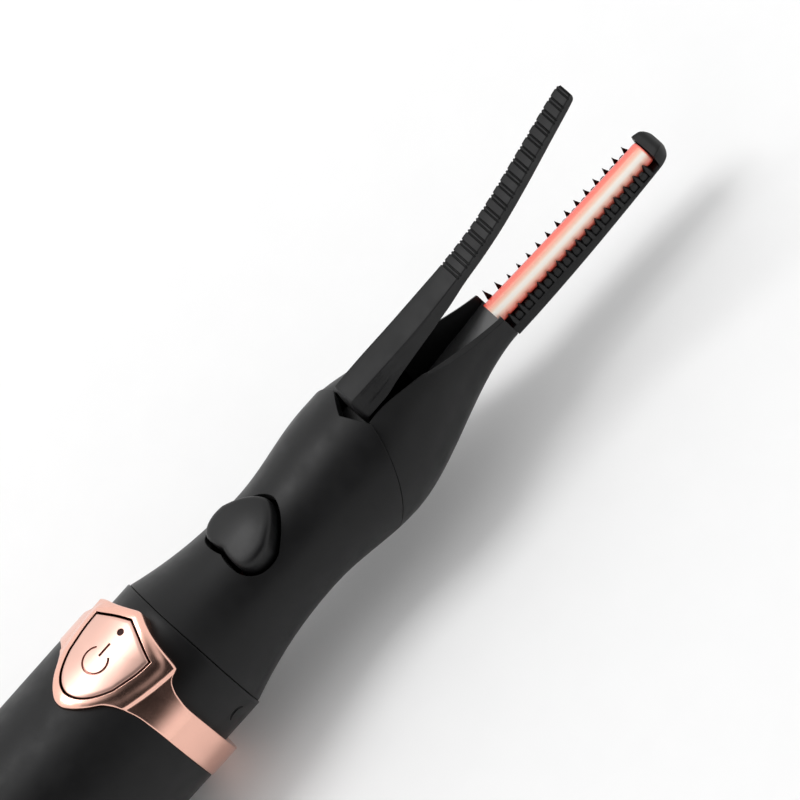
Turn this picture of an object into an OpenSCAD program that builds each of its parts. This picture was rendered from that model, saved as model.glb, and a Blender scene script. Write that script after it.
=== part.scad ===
// Rechargeable heated eyelash curler, lying on its side with the thumb button up.
// The long axis is X, with the jaws towards +X. The origin is under the middle of the whole length.

/* [Overall] */
// Length from the end cap to the tip of the comb
overall_len = 165; // [164:1:175]
// Diameter of the handle behind the accent ring
handle_d = 21; // [20.8:0.1:21.1]
// Diameter of the handle at the end cap
handle_end_d = 20; // [19.6:0.1:20.6]
// Wall of the handle barrel
handle_wall = 1.5; // [1.4:0.05:1.6]

/* [Accent ring and power key] */
// Width of the rose-gold band
band_w = 3.8; // [3.4:0.1:4.2]
// Length of the shield-shaped bezel along the handle
bezel_len = 12.8; // [12.6:0.1:13]
// How far the power key moves when pressed
key_travel = 0.35; // [0.2:0.05:0.35]
// Gap round the power key
key_gap = 0.2; // [0.15:0.05:0.3]

/* [Head] */
// Radius of the neck that the protective cap slides onto
collar_r = 9.13; // [9.05:0.01:9.2]
// Wall of the head shells
head_wall = 1.3; // [1.1:0.1:1.4]
// Gap round the heart-shaped thumb button
heart_gap = 0.5; // [0.4:0.05:0.6]

/* [Clamp] */
// Radius of the pivot pin
pin_r = 0.75; // [0.6:0.05:0.8]
// Radial running clearance of the lever on its pin
pin_clearance = 0.05; // [0.03:0.01:0.08]
// Distance between the grooves across the upper jaw
groove_pitch = 1.41; // [1.31:0.02:1.41]

/* [Comb and heater] */
// Number of teeth in each row of the comb
tooth_count = 15; // [12:1:16]
// Radius of the heated rod
rod_r = 1.35; // [1.25:0.05:1.35]
// Radius of the gentle bend of the rod and comb
rod_bend_r = 300; // [280:10:400]

/* [Hidden] */
$fn = 96;
eps = 0.05;

black = [0.10, 0.10, 0.10];
soft_black = [0.14, 0.14, 0.14];
rose_gold = [0.90, 0.64, 0.56];
coral = [0.98, 0.45, 0.38];
board_green = [0.05, 0.35, 0.20];
steel = [0.75, 0.76, 0.78];

// Stations along the axis, measured from the seam between the collar and the head
tip_x = 71;
end_x = tip_x - overall_len;
band_front_x = -5.1;
band_back_x = band_front_x - band_w;
ring_r = 10.6;
handle_r = handle_d / 2;
handle_end_r = handle_end_d / 2;
barrel_r = handle_r - handle_wall - 0.2;
cap_len = 5;

// The whole object is drawn about its axis and the seam, then set down on the floor
module place() translate([overall_len / 2 - tip_x, 0, ring_r]) children();

// Curves
function bezier(p, t) = pow(1 - t, 3) * p[0] + 3 * pow(1 - t, 2) * t * p[1]
    + 3 * (1 - t) * pow(t, 2) * p[2] + pow(t, 3) * p[3];
function curve(p, n) = [for (i = [0:n]) bezier(p, i / n)];
// Height of a curve over x, by bisection on its parameter
function curve_t(p, x, lo, hi, n) = n == 0 ? (lo + hi) / 2
    : bezier(p, (lo + hi) / 2)[0] < x ? curve_t(p, x, (lo + hi) / 2, hi, n - 1)
    : curve_t(p, x, lo, (lo + hi) / 2, n - 1);
function curve_at(p, x) = bezier(p, curve_t(p, x, 0, 1, 20))[1];

// A solid turned about the X axis from [x, radius] points
module turned(points) {
    rotate([0, 90, 0]) rotate_extrude() polygon([for (p = points) [p[1], p[0]]]);
}
module rod_x(x0, x1, r, y = 0, z = 0) {
    translate([x0, y, z]) rotate([0, 90, 0]) cylinder(r = r, h = x1 - x0);
}
module box_between(a, b) {
    translate(a) cube(b - a);
}
// A closed skin over rings of points, which all have the same number of points
module loft(rings) {
    n = len(rings[0]);
    m = len(rings);
    last = (m - 1) * n;
    polyhedron(
        points = [for (ring = rings) for (p = ring) p],
        faces = concat(
            [[for (i = [0:n - 1]) i]],
            [for (j = [0:m - 2]) for (i = [0:n - 1]) let (k = (i + 1) % n)
                each [[j * n + i, (j + 1) * n + i, (j + 1) * n + k],
                      [j * n + i, (j + 1) * n + k, j * n + k]]],
            [[for (i = [n - 1:-1:0]) last + i]]
        )
    );
}

// A thin round lead swept along its route
function unit(v) = v / norm(v);
function route_dir(r, i) = unit(r[min(i + 1, len(r) - 1)] - r[max(i - 1, 0)]);
module lead(route, r, sides = 8) {
    loft([for (i = [0:len(route) - 1])
        let (d = route_dir(route, i), u = unit(cross(d, [0, 1, 0])), v = cross(d, u))
            [for (k = [0:sides - 1]) let (a = 360 * k / sides) route[i] + r * (cos(a) * u + sin(a) * v)]]);
}

// Head outline, as [x, radius]
flare = [[0, 8.95], [4.5, 7.6], [9, 6.83], [14.3, 6.83]];
bulge = [[14.3, 6.83], [18.5, 6.83], [21.5, 7.94], [25.7, 7.94]];
bulge_end_x = bulge[3][0];
head_front_x = 30;
function head_r(x) = x < flare[3][0] ? curve_at(flare, x)
    : x < bulge_end_x ? curve_at(bulge, x) : bulge[3][1];
head_line = concat(curve(flare, 8), [for (i = [1:8]) bezier(bulge, i / 8)],
    [[head_front_x, bulge[3][1]]]);

// The parting plane between the head and the nose leans forwards towards the top
parting_x = 25.12;
parting_slope = 0.558;
parting_angle = atan(parting_slope);
module behind_parting(shift = 0) {
    translate([parting_x + shift, 0, 0]) rotate([0, parting_angle, 0])
        translate([-60, -20, -30]) cube([60, 40, 60]);
}

// Shield outlines, as [x, half-width] down one side
bezel_back_x = -13.9;
bezel_front_x = bezel_back_x + bezel_len;
module shield(tip, low, corner, top, grow) {
    side = concat(
        curve([[tip, 0], [tip + 0.1, low * 0.42], [tip + 1.2, low * 0.72], [tip + 3.6, low]], 6),
        curve([[tip + 3.6, low], [tip + 5.6, low * 1.12], [corner[0] - 2, corner[1] * 0.99], corner], 5),
        curve([corner, [corner[0] + 0.5, corner[1] * 0.7], [top - 0.9, 2.4], [top, 0]], 5)
    );
    offset(delta = grow)
        polygon(concat(side, [for (i = [len(side) - 2:-1:1]) [side[i][0], -side[i][1]]]));
}
bezel_corner = [-3.0, 6.5];
module bezel_outline(grow = 0) shield(bezel_back_x, 5.3, bezel_corner, bezel_front_x, grow);
key_back_x = -12.47;
key_front_x = -2.34;
key_corner = [-4.25, 4.55];
module key_outline(grow = 0) shield(key_back_x, 3.75, key_corner, key_front_x, grow);
bezel_face_r = 11.2;
key_face_r = 11.15;
key_floor_r = 9.9;

module upward(z0 = 0, z1 = 14) translate([0, 0, z0]) linear_extrude(z1 - z0) children();

// ---- Handle ----
module handle_shell() color(soft_black) place() difference() {
    turned([[end_x + cap_len, barrel_r], [end_x + cap_len, handle_end_r],
            [band_back_x, handle_r], [band_back_x, barrel_r]]);
    // seat of the bezel's point, and the way down to the switch
    intersection() {
        upward() bezel_outline(0.05);
        difference() { rod_x(-20, 0, 12); rod_x(-21, 1, handle_r - 0.8); }
    }
    upward() key_outline(key_gap);
}

port_half = [4.6, 1.75];
module end_cap() color(black) place() difference() {
    turned([[end_x, 0], [end_x, 7.6], [end_x + 0.25, 8.6], [end_x + 0.9, 9.4], [end_x + 2, 9.85],
            [end_x + cap_len, handle_end_r], [end_x + cap_len, barrel_r - eps],
            [end_x + cap_len + 4, barrel_r - eps], [end_x + cap_len + 4, 0]]);
    rod_x(end_x + 1.6, end_x + cap_len + 5, 7.4);
    hull() for (s = [-1, 1]) translate([end_x - 1, s * (port_half[0] - port_half[1]), 0])
        rotate([0, 90, 0]) cylinder(r = port_half[1], h = 4, $fn = 32);
}

module front_collar() color(black) place() difference() {
    union() {
        turned([[-18, 7.7], [-18, barrel_r - eps], [band_back_x, barrel_r - eps],
                [band_back_x, collar_r], [0, collar_r], [0, 7.7]]);
        // snap marks for the protective cap
        for (side = [-1, 1]) rotate([side * 97, 0, 0]) translate([-2.35, 0, collar_r - 0.15])
            scale([0.9, 1.6, 0.35]) sphere(r = 1, $fn = 32);
    }
    upward(5) key_outline(key_gap);
}

module accent_ring() color(rose_gold) place() difference() {
    union() {
        turned([[band_back_x, collar_r + 0.02], [band_back_x, ring_r],
                [band_front_x, ring_r], [band_front_x, collar_r + 0.02]]);
        intersection() {
            upward(5) bezel_outline();
            turned([[-20, handle_r - 0.75], [-20, bezel_face_r], [0, bezel_face_r], [0, collar_r + 0.02],
                    [band_back_x + 0.02, collar_r + 0.02], [band_back_x + 0.02, handle_r - 0.75]]);
        }
    }
    upward(5) key_outline(key_gap);
}

symbol_x = -7.9;
symbol_r = 1.5;
symbol_depth = 0.25;
light_x = -4.0;
light_r = 0.4;
switch_x = -7.4;
switch_top = 8.7;
module power_button() color(rose_gold) place() difference() {
    union() {
        intersection() {
            upward(5) key_outline();
            turned([[-20, key_floor_r], [-20, key_face_r], [0, key_face_r], [0, key_floor_r]]);
        }
        translate([switch_x, 0, switch_top + 0.02]) cylinder(r = 1.1, h = key_face_r - 0.6 - switch_top);
    }
    translate([symbol_x, 0, key_face_r - symbol_depth]) {
        rotate([0, 0, 40]) rotate_extrude(angle = 280) translate([symbol_r - 0.14, 0]) square([0.28, 1]);
        translate([0.3, -0.14, 0]) cube([1.7, 0.28, 1]);
    }
    translate([light_x, 0, 5]) cylinder(r = light_r, h = 10);
}

module light_pipe() color("white") place() translate([light_x, 0, 0]) {
    foot = board_top + led_h + key_travel + 0.45;
    translate([0, 0, foot]) cylinder(r = light_r - 0.01, h = key_face_r - 0.1 - foot);
    translate([0, 0, foot]) cylinder(r = 0.75, h = 1.4);
}

// ---- Electronics ----
board_z = 3.2;
board_t = 1.0;
board_top = board_z + board_t;
board_back_x = -33;
led_h = 0.8;
module tact_switch() color([0.12, 0.12, 0.13]) place() difference() {
    box_between([switch_x - 2.25, -2.25, board_top], [switch_x + 2.25, 2.25, 7.5]);
    translate([switch_x, 0, 6.4]) cylinder(r = 1.05, h = 3);
}
module switch_plunger() color([0.85, 0.85, 0.8]) place()
    translate([switch_x, 0, 6.9]) cylinder(r = 1.0, h = switch_top - 6.9);
module status_led() color([1, 0.95, 0.8]) place()
    box_between([light_x - 0.5, -0.8, board_top], [light_x + 0.5, 0.8, board_top + led_h]);

screw_x = [-29.5, -13.5];
module main_board() color(board_green) place() difference() {
    box_between([board_back_x, -6, board_z], [-2.9, 6, board_top]);
    for (x = screw_x) translate([x, 0, 0]) cylinder(r = 0.9, h = 8);
}
module board_components() color([0.08, 0.08, 0.09]) place() {
    box_between([-25.5, -2.5, board_top], [-20.5, 2.5, board_top + 1.0]);
    box_between([-18.5, 1.5, board_top], [-16, 4.5, board_top + 1.1]);
    box_between([-18.5, -4.5, board_top], [-16, -1.5, board_top + 1.1]);
    for (y = [-3.9, 3.9], x = [-24.5, -22.5, -10.5])
        box_between([x, y - 0.4, board_top], [x + 1, y + 0.4, board_top + 0.5]);
}
module board_screws() color(steel) place() for (x = screw_x) translate([x, 0, 0]) difference() {
    union() {
        translate([0, 0, -0.6]) cylinder(r = 0.75, h = board_top + 0.7);
        translate([0, 0, board_top]) cylinder(r = 1.4, h = 0.8);
    }
    translate([-0.9, -0.15, board_top + 0.4]) cube([1.8, 0.3, 1]);
    translate([-0.15, -0.9, board_top + 0.4]) cube([0.3, 1.8, 1]);
}

cell_r = 7;
cell_len = 43;
cell_z = -0.75;
cell_front_x = -36;
cell_back_x = cell_front_x - cell_len;
module battery_cell() color([0.25, 0.45, 0.75]) place() translate([0, 0, cell_z]) turned([
    [cell_back_x, 0], [cell_back_x, cell_r - 0.4], [cell_back_x + 0.4, cell_r],
    [cell_front_x - 1.2, cell_r], [cell_front_x - 0.8, cell_r - 0.5], [cell_front_x - 0.8, 2.6],
    [cell_front_x, 2.6], [cell_front_x, 0]]);
module battery_tabs() color(steel) place() {
    box_between([cell_front_x, -1.5, cell_z - 2], [cell_front_x + 0.2, 1.5, 6.6]);
    box_between([cell_back_x - 0.2, -1.5, cell_z - 2], [cell_back_x, 1.5, 6.6]);
}
lead_r = 0.5;
// Both leads run over the cell, side by side
lead_y = 2.2;
function over_cell(y) = [
    [cell_front_x - 1, y, 7.4], [cell_front_x - 8, y, 7.7], [cell_back_x + 8, y, 7.7],
    [cell_back_x + 1, y, 7.4], [cell_back_x - 2.2, y, 5], [cell_back_x - 2.6, y, 1.6]];
module battery_lead_positive() color("red") place()
    lead(concat([[cell_front_x + 0.9, lead_y, 6.2]], over_cell(lead_y)), lead_r);
module battery_lead_negative() color("black") place() lead(concat(
    [[board_back_x + 2, -lead_y, board_top + 0.55], [board_back_x - 1.5, -lead_y, 5.8]],
    over_cell(-lead_y)), lead_r);

socket_back_x = end_x + 1.1;
module charging_board() color(board_green) place()
    box_between([socket_back_x + 1, -6.5, -2.6], [cell_back_x - 1, 6.5, -1.6]);
module charger_components() color([0.08, 0.08, 0.09]) place()
    box_between([socket_back_x + 9.5, -4.5, -1.6], [socket_back_x + 12, -1.5, -0.7]);
module socket_tube(x, r) hull() for (s = [-1, 1])
    translate([x, s * 2.87, 0]) rotate([0, 90, 0]) cylinder(r = r, h = 7.3, $fn = 32);
module usb_c_socket() color(steel) place() translate([socket_back_x, 0, 0]) difference() {
    socket_tube(0, 1.6);
    difference() {
        socket_tube(-1, 1.3);
        box_between([0.8, -3.3, -0.35], [7, 3.3, 0.35]);
    }
}

// Tray in the handle: a cradle for the cell, bosses for the main board and a shelf for the charging board
tray_r = barrel_r - 0.12;
tray_top = 0.4;
module chassis_tray() color([0.75, 0.75, 0.72]) place() difference() {
    union() {
        intersection() {
            rod_x(end_x + cap_len + 4.5, -18.6, tray_r);
            box_between([end_x, -12, -12], [0, 12, tray_top]);
        }
        for (x = screw_x) translate([x, 0, -7]) cylinder(r = 2, h = board_z + 7);
        for (x = screw_x) box_between([x - 1, -5.8, -4], [x + 1, 5.8, board_z]);
        rod_x(-20, -9.5, 7.55);
    }
    rod_x(cell_back_x - 0.3, cell_front_x + 0.3, cell_r + 0.08, 0, cell_z);
    // hollows under the boards
    box_between([-27.4, -7, -6.4], [-20.2, 7, 8]);
    box_between([-34.9, -7, -6.4], [-31.6, 7, 8]);
    box_between([end_x, -7.2, -2.65], [cell_back_x - 0.9, 7.2, 8]);
    box_between([-20.5, -8, board_z], [-5, 8, 12]);
    box_between([-11.4, -8, -6], [-9, 8, 12]);
    for (x = screw_x) translate([x, 0, -0.7]) cylinder(r = 0.78, h = 8);
    // way for the heater leads
    for (s = [-1, 1]) rod_x(-16.5, -9, 0.9, s * 3.2, 2.6);
}

// ---- Head ----
pivot_x = 22.6;
pivot_z = 4.5;
pin_half = 4.9;
heart_tip_x = 16.3;
heart_rear_x = 9.0;
heart_half_w = 3.85;
// Heart outline seen from above, with its point towards the jaws
module heart_outline(grow = 0) {
    notch_x = heart_rear_x + 0.35;
    shoulder = [12.6, heart_half_w - 0.1];
    side = concat(
        curve([[heart_tip_x, 0], [heart_tip_x - 0.1, 1.1], [15.0, 2.5], shoulder], 6),
        curve([shoulder, [11.6, heart_half_w + 0.2], [heart_rear_x, heart_half_w + 0.4],
            [heart_rear_x, 2.2]], 6),
        curve([[heart_rear_x, 2.2], [heart_rear_x, 1.2], [notch_x - 0.2, 0.6], [notch_x, 0]], 4)
    );
    offset(delta = grow)
        polygon(concat(side, [for (i = [len(side) - 2:-1:1]) [side[i][0], -side[i][1]]]));
}

mouth_edge_x = 27.6;
mouth_side_x = 29.2;
mouth_half_w = 3.3;
spigot_r = 7.65;
module head_shell() color(soft_black) place() difference() {
    union() {
        intersection() {
            union() {
                difference() {
                    turned(concat([[0, 0]], head_line, [[head_front_x, 0]]));
                    turned(concat([[-1, 0], [-1, 6.4], [2, 6.2]],
                        [for (x = [4:2:28]) [x, head_r(x) - head_wall]], [[31, 6.6], [31, 0]]));
                }
                // bosses that hold the pin
                for (s = [-1, 1]) intersection() {
                    translate([pivot_x, s * 4.7, pivot_z]) rotate([90, 0, 0])
                        cylinder(r = 1.9, h = 2.6, center = true);
                    rod_x(15, 30, head_r(pivot_x) - 0.4);
                }
                // seat of the spring
                translate([spring_x, 0, -6]) cylinder(r = 2.3, h = 6 + spring_foot_z);
            }
            behind_parting();
        }
        // spigot in the collar
        turned([[-2.4, 6.6], [-2.4, spigot_r], [0.3, spigot_r], [0.3, 6.6]]);
    }
    upward(2.4) heart_outline(heart_gap);
    // mouth that the lever comes out of
    translate([0, 0, 4.5]) linear_extrude(6) polygon([
        [mouth_edge_x, 0], [mouth_side_x, -mouth_half_w], [40, -mouth_half_w],
        [40, mouth_half_w], [mouth_side_x, mouth_half_w]]);
    box_between([pivot_x - 2.3, -2.9, 0], [32, 2.9, 6.45]);
    translate([pivot_x, 0, pivot_z]) rotate([90, 0, 0])
        cylinder(r = pin_r, h = 2 * pin_half + 0.02, center = true);
}

// Nose outline: half-width, height above and depth below the axis
nose_end_x = 46.4;
nose_rear_x = 20;
nose_w = [[25.7, 7.94], [32, 7.94], [38.5, 2.5], [nose_end_x, 2.2]];
nose_up = [[25.7, 7.94], [32, 7.94], [39, 4.7], [nose_end_x, 1.95]];
nose_down = [[25.7, 7.94], [32, 7.94], [40, 4.4], [nose_end_x, 4.3]];
nose_points = 28;
function power_of(v, e) = sign(v) * pow(abs(v), e);
function nose_square(x) = 2 + 1.5 * pow(max(0, x - bulge_end_x) / (nose_end_x - bulge_end_x), 2);
function nose_ring(x) = let (
    w = x < bulge_end_x ? head_r(x) : curve_at(nose_w, x),
    up = x < bulge_end_x ? head_r(x) : curve_at(nose_up, x),
    down = x < bulge_end_x ? head_r(x) : curve_at(nose_down, x),
    e = 2 / nose_square(x))
    [for (i = [0:nose_points - 1]) let (a = 360 * (i + 0.5) / nose_points)
        [x, w * power_of(cos(a), e), (sin(a) > 0 ? up : down) * power_of(sin(a), e)]];
nose_stations = concat([for (x = [nose_rear_x:1.9:25]) x],
    [for (i = [0:13]) bulge_end_x + (nose_end_x - bulge_end_x) * i / 13]);
channel_side = [[27, 3.0], [29.2, 2.78], [30.5, 2.55], [32, 2.42], [34, 2.4], [37, 2.35], [40, 2.1],
    [43.5, 1.75], [46.3, 1.57], [50, 1.5]];
// The near wall of the channel is scooped away towards the comb, down to this line
scoop = [[36.4, 5.3], [37, 4.82], [40, 3.17], [43.5, 1.43], [nose_end_x + 1, 0.3]];
floor_rear = [34, -2.6];
floor_front = [nose_end_x + 1, 0.5];
module nose_shell() color(soft_black) place() difference() {
    loft([for (x = nose_stations) nose_ring(x)]);
    behind_parting(eps);
    // hollow behind and under the channel's sloping floor
    turned([[18, 0], [18, 6.4], [27, 6.4], [31, 5.6], [35.5, 3.4], [35.5, 0]]);
    box_between([34, -1.6, -4.3], [38.5, 1.6, -2.2]);
    box_between([38, -1.2, -3.4], [43.45, 1.2, -1.55]);
    // channel that the arm drops into
    difference() {
        translate([0, 0, -4]) linear_extrude(14) for (s = [0, 1]) mirror([0, s]) polygon(concat(
            [[27, -eps]], channel_side, [[50, -eps]]));
        rotate([90, 0, 0]) translate([0, 0, -5]) linear_extrude(10) polygon([
            [33, -9], floor_rear, floor_front, [60, floor_front[1]], [60, -9]]);
    }
    rotate([90, 0, 0]) translate([0, 0, 0.5]) linear_extrude(4) polygon(concat(scoop,
        [[nose_end_x + 1, 9], [scoop[0][0], 9]]));
    // seat of the rod and way for the leads and the comb's tongue
    translate([nose_end_x - 0.8, 0, rod_z(nose_end_x)]) rotate([0, 90, 0]) cylinder(r = rod_r + 0.05, h = 3);
    box_between([nose_end_x - 3, -1.2, -3.41], [nose_end_x + 1, 1.2, -1.7]);
    rod_x(43, nose_end_x, 0.7, 0, -0.9);
}

// ---- Comb and heater ----
function rod_z(x) = -0.95 + pow(x - 66, 2) / (2 * rod_bend_r);
rod_end_x = 69.3;
comb_half_w = 1.95;
comb_wall = 0.45;
tooth_base_z = -1.75;
tooth_tip_z = -0.05;
comb_body = [[nose_end_x, -4.0], [55, -4.2], [64, -3.3], [tip_x, -2.6]];
function comb_bottom(x) = curve_at(comb_body, x);
first_tooth_x = nose_end_x + 0.75;
tooth_pitch = (rod_end_x - 1.45 - first_tooth_x) / (tooth_count - 1);
// The first teeth stand taller
function tooth_tip(i) = tooth_tip_z + (i == 0 ? 1.3 : i == 1 ? 0.7 : -0.15);
module comb() color(black) place() difference() {
    union() {
        // trough
        intersection() {
            rotate([90, 0, 0]) translate([0, 0, -3]) linear_extrude(6) polygon(concat(
                [for (i = [0:8]) let (x = nose_end_x + (tip_x - nose_end_x - 0.4) * i / 8)
                    [x, comb_bottom(x)]],
                [[tip_x, -2.2], [tip_x, -0.9], [tip_x - 0.5, -0.2], [rod_end_x + 0.1, -0.1],
                 [rod_end_x + 0.1, tooth_base_z], [nose_end_x, tooth_base_z]]));
            translate([0, 0, -6]) linear_extrude(8) polygon([
                [nose_end_x, -comb_half_w], [69.3, -comb_half_w], [70.4, -1.5], [tip_x, -0.7],
                [tip_x, 0.7], [70.4, 1.5], [69.3, comb_half_w], [nose_end_x, comb_half_w]]);
        }
        // teeth
        for (i = [0:tooth_count - 1], s = [-1, 1])
            translate([first_tooth_x + i * tooth_pitch, s > 0 ? comb_half_w : -comb_half_w + comb_wall, 0])
                rotate([90, 0, 0]) linear_extrude(comb_wall) polygon([
                    [-0.42, tooth_base_z - eps], [0.42, tooth_base_z - eps],
                    [0.12, tooth_tip(i)], [-0.12, tooth_tip(i)]]);
        // tongue in the nose
        box_between([nose_end_x - 2.9, -1.15, -3.35], [nose_end_x + eps, 1.15, -1.75]);
    }
    bent_rod(nose_end_x - 1, rod_end_x + 0.05, rod_r + 0.06);
}

// Round bar that follows the gentle bend of the comb
module bent_rod(x0, x1, r) {
    a0 = asin((x0 - 66) / rod_bend_r);
    a1 = asin((x1 - 66) / rod_bend_r);
    translate([66, 0, rod_bend_r - 0.95]) rotate([90, 0, 0]) rotate([0, 0, -90 + a0])
        rotate_extrude(angle = a1 - a0, $fn = 200) translate([rod_bend_r, 0]) circle(r = r, $fn = 48);
}
module heated_rod() color(coral) place() difference() {
    bent_rod(nose_end_x - 0.55, rod_end_x - 0.1, rod_r);
    bent_rod(nose_end_x - 2, rod_end_x - 2, 0.95);
}
module heater_core() color([0.92, 0.9, 0.85]) place() bent_rod(nose_end_x - 0.3, rod_end_x - 4.2, 0.8);
module temperature_sensor() color([0.2, 0.2, 0.25]) place()
    translate([rod_end_x - 3.2, 0, rod_z(rod_end_x - 3.2)]) sphere(r = 0.75);
module rod_holder() color([0.85, 0.82, 0.75]) place() difference() {
    box_between([41.5, -1.1, -3.2], [43.4, 1.1, -1.6]);
    for (s = [-1, 1]) rod_x(41, 44, 0.4, s * 0.5, -2.4);
}
heater_lead_r = 0.38;
function heater_route(s) = [
    [-2.5, s * 3.2, 2.7], [0, s * 3.2, 2], [3, s * 3.2, 0], [7, s * 3.2, -2.5], [12, s * 3.3, -3.4],
    [20, s * 2.6, -4.2], [28, s * 1.6, -4.4], [34, s * 0.9, -3.7], [38, s * 0.6, -2.7],
    [41.3, s * 0.5, -2.4]];
module heater_lead_live() color("red") place() lead(heater_route(1), heater_lead_r);
module heater_lead_return() color("white") place() lead(heater_route(-1), heater_lead_r);

// ---- Clamp ----
// The lever is drawn open. Sections of the arm: x, half-width on top, half-width below, top z, bottom z
arm_sections = [
    [28.95, 1.3, 2.0, 6.9, 4.3], [29.6, 1.5, 2.3, 10.05, 6.95], [32.2, 1.57, 2.2, 10.13, 6.9],
    [34.6, 1.59, 2.12, 10.15, 7.42], [37.6, 1.59, 1.95, 10.15, 7.79], [40.5, 1.56, 1.75, 10.25, 8.05],
    [42.9, 1.5, 1.5, 10.4, 8.2], [46.4, 1.38, 1.38, 10.7, 8.95], [49.5, 1.3, 1.3, 11.15, 9.45],
    [53, 1.25, 1.25, 11.95, 10.3], [58, 1.2, 1.2, 13.6, 12.05], [63, 1.13, 1.13, 15.45, 14.05],
    [67.4, 1.05, 1.05, 17.0, 15.8], [68.0, 0.85, 0.85, 17.1, 16.2]];
function arm_ring(s) = let (c = 0.22) [
    [s[0], s[1] - c, s[3]], [s[0], -s[1] + c, s[3]], [s[0], -s[1], s[3] - c],
    [s[0], -s[2], s[4] + c], [s[0], -s[2] + c, s[4]], [s[0], s[2] - c, s[4]],
    [s[0], s[2], s[4] + c], [s[0], s[1], s[3] - c]];
groove_first_x = 46.5;
groove_count = 16;
function arm_top(x) = let (i = [for (k = [0:len(arm_sections) - 2]) if (arm_sections[k][0] <= x) k],
    a = arm_sections[max(i)], b = arm_sections[max(i) + 1]) a[3] + (b[3] - a[3]) * (x - a[0]) / (b[0] - a[0]);
module clamp_lever() color(black) place() difference() {
    union() {
        loft([for (s = arm_sections) arm_ring(s)]);
        // pivot block and the neck that joins it to the arm
        translate([pivot_x, 0, pivot_z]) rotate([90, 0, 0]) cylinder(r = 1.7, h = 5.2, center = true);
        rotate([90, 0, 0]) translate([0, 0, -1.9]) linear_extrude(3.8) polygon([
            [pivot_x - 1, pivot_z - 1.6], [pivot_x + 1, pivot_z - 1.6], [29.3, 4.5], [29.3, 5.6],
            [pivot_x, pivot_z + 1.6]]);
        // bar to the thumb button, with its post
        rotate([90, 0, 0]) translate([0, 0, -1.6]) linear_extrude(3.2) polygon([
            [10.6, 0.6], [18, 0.6], [pivot_x, pivot_z - 1.65], [pivot_x - 1.2, pivot_z + 1.1],
            [18.4, 3.4], [17, 2.3], [10.6, 2.3]]);
        translate([12.6, 0, 2.2]) cylinder(r = 1.6, h = 3.3);
    }
    translate([pivot_x, 0, pivot_z]) rotate([90, 0, 0])
        cylinder(r = pin_r + pin_clearance, h = 8, center = true);
    for (i = [0:groove_count - 1]) let (x = groove_first_x + i * groove_pitch)
        translate([x, 0, arm_top(x)]) rotate([0, -19, 0]) cube([0.3, 4, 0.4], center = true);
}

heart_top = 8.2;
heart_crown_r = 14;
module thumb_button() color(black) place() difference() {
    intersection() {
        upward(2.4, 12) heart_outline();
        // crowned top
        translate([12.8, 0, heart_top - heart_crown_r]) sphere(r = heart_crown_r);
    }
    upward(2.3, 6.3) heart_outline(-1.1);
    translate([12.6, 0, 2]) cylinder(r = 1.65, h = 3.6);
}

module pivot_pin() color(steel) place() translate([pivot_x, 0, pivot_z]) rotate([90, 0, 0])
    cylinder(r = pin_r - 0.005, h = 2 * pin_half, center = true);

spring_x = 12.6;
spring_foot_z = -3.6;
spring_head_z = 0.55;
spring_r = 1.5;
spring_wire_r = 0.2;
spring_turns = 5;
spring_steps = 14;
module return_spring() color(steel) place() lead([for (i = [0:spring_turns * spring_steps])
    let (a = 360 * i / spring_steps, t = i / (spring_turns * spring_steps),
        z0 = spring_foot_z + spring_wire_r + 0.02, z1 = spring_head_z - spring_wire_r - 0.02)
        [spring_x + spring_r * cos(a), spring_r * sin(a), z0 + (z1 - z0) * t]], spring_wire_r, 6);

handle_shell();
end_cap();
front_collar();
accent_ring();
power_button();
light_pipe();
tact_switch();
switch_plunger();
status_led();
main_board();
board_components();
board_screws();
chassis_tray();
battery_cell();
battery_tabs();
battery_lead_positive();
battery_lead_negative();
charging_board();
charger_components();
usb_c_socket();
head_shell();
nose_shell();
thumb_button();
clamp_lever();
pivot_pin();
return_spring();
comb();
heated_rod();
heater_core();
temperature_sensor();
rod_holder();
heater_lead_live();
heater_lead_return();
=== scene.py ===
"""Heated eyelash curler: detailed shells, materials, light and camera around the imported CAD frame."""

import math

import bmesh
import bpy
from mathutils import Matrix, Vector


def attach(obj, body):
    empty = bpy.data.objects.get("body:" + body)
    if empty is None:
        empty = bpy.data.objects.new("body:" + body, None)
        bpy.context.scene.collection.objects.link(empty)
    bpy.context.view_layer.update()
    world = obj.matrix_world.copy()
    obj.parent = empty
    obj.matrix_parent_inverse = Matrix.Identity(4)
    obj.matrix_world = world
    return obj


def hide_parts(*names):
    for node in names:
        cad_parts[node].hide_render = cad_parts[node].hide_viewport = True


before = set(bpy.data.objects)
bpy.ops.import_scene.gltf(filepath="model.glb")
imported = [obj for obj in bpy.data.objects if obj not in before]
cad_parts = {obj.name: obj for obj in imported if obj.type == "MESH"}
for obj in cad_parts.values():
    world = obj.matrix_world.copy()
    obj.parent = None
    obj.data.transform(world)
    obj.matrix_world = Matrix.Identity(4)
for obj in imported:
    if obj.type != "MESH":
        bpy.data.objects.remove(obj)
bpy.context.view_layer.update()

# Pieces are drawn in millimetres about the handle's axis, with x = 0 at the seam between collar and head.
SEAM_MM = (11.5, 0.0, 10.6)
TO_ROW = Matrix.Scale(0.001, 4) @ Matrix.Translation(SEAM_MM)
scene = bpy.context.scene


# ---------------------------------------------------------------- geometry helpers
def bezier(p, t):
    return tuple(
        (1 - t) ** 3 * a + 3 * (1 - t) ** 2 * t * b + 3 * (1 - t) * t * t * c + t ** 3 * d
        for a, b, c, d in zip(*p)
    )


def curve(p, n):
    return [bezier(p, i / n) for i in range(n + 1)]


def curve_at(p, x):
    lo, hi = 0.0, 1.0
    for _ in range(30):
        mid = (lo + hi) / 2
        if bezier(p, mid)[0] < x:
            lo = mid
        else:
            hi = mid
    return bezier(p, (lo + hi) / 2)[1]


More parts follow.
